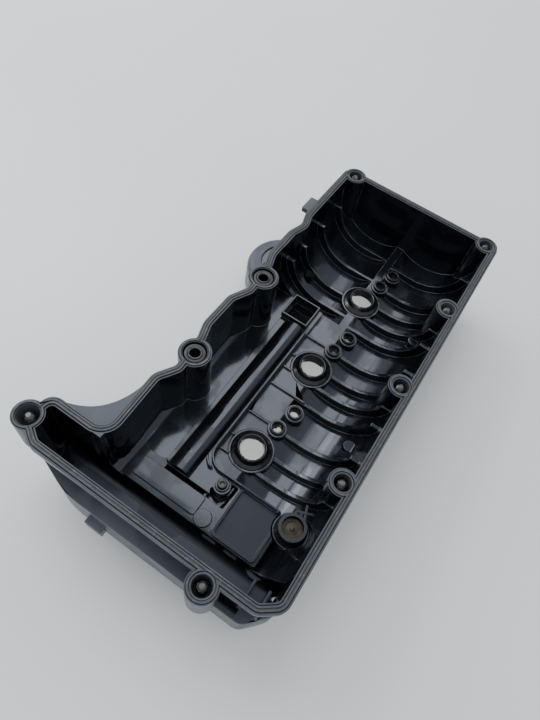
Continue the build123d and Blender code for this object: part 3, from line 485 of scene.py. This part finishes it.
def dress(node, material, width):
    """Replaces a CAD node with its rounded copy in the given material."""
    mesh = cleaned(frame["nodes"][node])
    low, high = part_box(node)
    if (high - low).x > LONG:
        cut_up(mesh)
    if node in BOLTS:
        shorten_shank(mesh)
    guarded = node == "separator_plate"
    for face in mesh.faces:
        face.material_index = int(guarded and in_guard(face.calc_center_median()))
    if width:
        rounded(mesh, width * MM)
    materials = [material, "guard_plastic"] if guarded else [material]
    piece = piece_from(mesh, node + "_finished", materials)
    if node == "regulator_spring":
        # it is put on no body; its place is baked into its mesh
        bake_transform(piece)
    else:
        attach(piece, frame["nodes"][node]["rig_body"])
    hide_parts(node)


# ---- cover shell ---------------------------------------------------------------------
SHELL_ROUND = 0.50              # moulded edge radius, in millimetres
FLANGE_ROUND = 0.15             # the same on the gasket face
INSIDE, FLANGE, OUTSIDE = 0, 1, 2
FLANGE_ROUND_Z = 77.0 * MM      # edges above this have the smaller radius
FACE_DEPTH = 0.5 * MM           # faces this near the gasket face belong to it
LIP_DEPTH = 2.2 * MM            # open faces this near it do too
CUP_FLOOR = 66.0 * MM           # the cups round the bolt tips go down to here
CUP_REACH = 7.6 * MM
STAND_OFF = 0.4 * MM            # how far off its face a ray starts
LOOKS = [45.0 * turn + 10.0 for turn in range(8)]   # where a face looks for walls, in degrees
WALLED = 6                      # walls seen from a face that is inside the cover
BOLT_AXES = [axis_of(node) for node in BOLTS]


def shell_zone(face, surface):
    """Which finish a face of the shell has: oily inside, dull flange, or outside."""
    centre = face.calc_center_median()
    if centre.z > GASKET_FACE - FACE_DEPTH and face.normal.z > -0.5:
        return FLANGE
    start = centre + face.normal * STAND_OFF
    if surface.ray_cast(start, UP)[0] is not None:
        return OUTSIDE
    if start.z > GASKET_FACE - LIP_DEPTH:
        return FLANGE
    if start.z > CUP_FLOOR and min(math.dist(start.xy, axis) for axis in BOLT_AXES) < CUP_REACH:
        return FLANGE
    walls = 0
    for look in LOOKS:
        sideways = Vector((math.cos(math.radians(look)), math.sin(math.radians(look)), 0))
        walls += surface.ray_cast(start, sideways)[0] is not None
    return INSIDE if walls >= WALLED else OUTSIDE


def dress_shell():
    mesh = cleaned(frame["nodes"]["cover_shell"])
    cut_up(mesh)
    surface = BVHTree.FromBMesh(mesh)
    for face in mesh.faces:
        face.material_index = shell_zone(face, surface)
    rounded(mesh, SHELL_ROUND * MM, FLANGE_ROUND * MM, FLANGE_ROUND_Z)
    piece = piece_from(mesh, "cover_moulding", ["shell_inside", "shell_flange", "shell_outside"])
    fitted(piece, "root")
    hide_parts("cover_shell")


# ---- turned details ------------------------------------------------------------------------
def angles(count):
    return [math.tau * side / count for side in range(count)]


def skin(mesh, rings, flipped=False):
    """Faces between each ring of points and the next.

    They face out where the rings climb, and down where the rings widen, or the other way
    when flipped.
    """
    for first, second in zip(rings, rings[1:]):
        for side in range(len(first)):
            after = (side + 1) % len(first)
            corners = [first[side], first[after], second[after], second[side]]
            if flipped:
                corners[1], corners[3] = corners[3], corners[1]
            mesh.faces.new(corners)


# ---- ejector marks -----------------------------------------------------------------------
MARKS = [(34.3, -21.2), (-1.3, -22.6)]   # from each injector opening, in millimetres
MARK_R = 3.6                    # to the middle of the raised line
MARK_HALF = 0.16                # half the line's width
MARK_H = 0.07                   # its height off the surface, and how deep its edges go in
MARK_SIDES = 64


def make_marks():
    """Fine rings that the mould's ejector pins left on the inside, as one mesh."""
    surface = BVHTree.FromBMesh(cleaned(frame["nodes"]["cover_shell"]))
    mesh = bmesh.new()
    mesh.faces.layers.float.new(EDGE)
    profile = ((MARK_R - MARK_HALF, -MARK_H), (MARK_R, MARK_H), (MARK_R + MARK_HALF, -MARK_H))
    for number in range(1, 4):
        centre = axis_of(f"injector_seal_{number}")
        for over, along in MARKS:
            rings = []
            for radius, lift in profile:
                ring = []
                for angle in angles(MARK_SIDES):
                    x = centre[0] + (over + radius * math.cos(angle)) * MM
                    y = centre[1] + (along + radius * math.sin(angle)) * MM
                    start = Vector((x, y, GASKET_FACE))
                    place, normal, index, distance = surface.ray_cast(start, DOWN)
                    ring.append(mesh.verts.new(place + normal * lift * MM))
                rings.append(ring)
            skin(mesh, rings, flipped=True)
    fitted(piece_from(mesh, "ejector_marks", ["shell_inside"]), "root")


# ---- bolt threads ---------------------------------------------------------------------
# Heights and radii in millimetres.
THREAD_PITCH = 1.0
THREAD_CREST = 2.97
THREAD_ROOT = 2.42
THREAD_FLAT = 1.25              # over 1, the crests are flat
THREAD_FROM = 67.8
THREAD_TO = 78.2
BOLT_END = 79.4
POINT_R = 1.5                   # of the bolt's end
THREAD_SIDES = 40
THREAD_STEPS = 8                # rings for each turn of thread
SHANK_CUT = 70.0                # the CAD's plain shank ends above this
SHANK_DROP = 10.5               # and here it ends this much lower


def shorten_shank(mesh):
    """Lowers the end of a bolt's plain shank, to make room for its thread."""
    for vertex in mesh.verts:
        if vertex.co.z > SHANK_CUT * MM:
            vertex.co.z -= SHANK_DROP * MM


def thread_radius(angle, z):
    """The thread's radius: a rounded vee that climbs one pitch a turn, and a point at the end."""
    phase = (z / THREAD_PITCH - angle / math.tau) % 1.0
    rise = 0.5 - 0.5 * math.cos(math.tau * phase)
    radius = THREAD_ROOT + (THREAD_CREST - THREAD_ROOT) * min(1.0, THREAD_FLAT * rise)
    if z <= THREAD_TO:
        return radius
    along = (z - THREAD_TO) / (BOLT_END - THREAD_TO)
    return min(radius, THREAD_CREST + (POINT_R - THREAD_CREST) * along)


def make_thread(node):
    """The threaded end of a bolt."""
    centre = axis_of(node)
    count = int((BOLT_END - THREAD_FROM) / THREAD_PITCH * THREAD_STEPS)
    mesh = bmesh.new()
    mesh.faces.layers.float.new(EDGE)
    rings = []
    for step in range(count + 1):
        z = THREAD_FROM + (BOLT_END - THREAD_FROM) * step / count
        ring = []
        for angle in angles(THREAD_SIDES):
            radius = thread_radius(angle, z) * MM
            x = centre[0] + radius * math.cos(angle)
            y = centre[1] + radius * math.sin(angle)
            ring.append(mesh.verts.new((x, y, z * MM)))
        rings.append(ring)
    skin(mesh, rings)
    mesh.faces.new(rings[0][::-1])
    mesh.faces.new(rings[-1])
    piece = piece_from(mesh, node + "_thread", ["bolt_steel"])
    fitted(piece, frame["nodes"][node]["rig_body"])


# ---- floor -------------------------------------------------------------------------------
FLOOR_HALF = 4.0
FLOOR_CELLS = 8


def make_floor():
    mesh = bmesh.new()
    bmesh.ops.create_grid(mesh, x_segments=FLOOR_CELLS, y_segments=FLOOR_CELLS, size=FLOOR_HALF)
    data = bpy.data.meshes.new("table_top")
    mesh.to_mesh(data)
    mesh.free()
    data.materials.append(table_top("table_top"))
    link(bpy.data.objects.new("table_top", data))


make_camera()
make_light()
make_floor()
dress_shell()
make_marks()
for prefix, (count, material, width) in NUMBERED.items():
    for number in range(1, count + 1):
        dress(f"{prefix}{number}", material, width)
for node, (material, width) in SINGLE.items():
    dress(node, material, width)
for node in BOLTS:
    make_thread(node)
